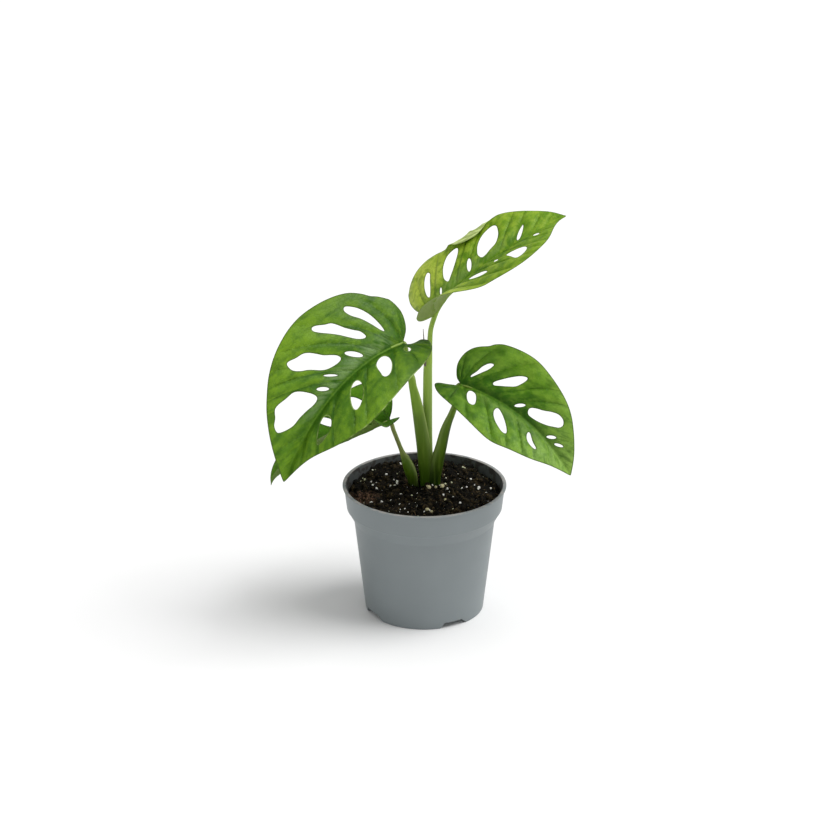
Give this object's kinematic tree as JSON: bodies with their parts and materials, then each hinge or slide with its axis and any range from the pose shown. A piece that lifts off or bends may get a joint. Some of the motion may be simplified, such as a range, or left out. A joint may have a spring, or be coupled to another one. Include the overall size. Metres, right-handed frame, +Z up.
{
  "type": "potted monstera adansonii",
  "caption": "Young Swiss cheese vine with holed, heart-shaped leaves on sheathed stalks, growing in peat in a round grey nursery pot.",
  "frame": {"origin": "centre of the pot's underside, on the surface that it stands on", "axes": "+Z up along the pot's axis, -Y towards the front, +X to the right"},
  "size_m": [0.2195, 0.1395, 0.2899],
  "materials": {
    "pot_plastic": "fine satin, cool mid grey",
    "peat": "crumbly, near black, with white perlite",
    "stem": "dull, brownish green",
    "bright_leaf": "soft gloss, quilted between the veins",
    "young_leaf": "soft gloss, yellow green",
    "dark_leaf": "soft gloss, dark green",
    "stalk": "smooth, darker towards the soil"
  },
  "bodies": {
    "root": {"pot": "pot_plastic", "soil": "peat", "stem": "stem", "leaf_left": "bright_leaf", "leaf_top": "young_leaf", "leaf_right": "bright_leaf", "leaf_back": "dark_leaf", "petiole_left": "stalk", "petiole_top": "stalk", "petiole_right": "stalk", "petiole_back": "stalk"}
  },
  "joints": []
}
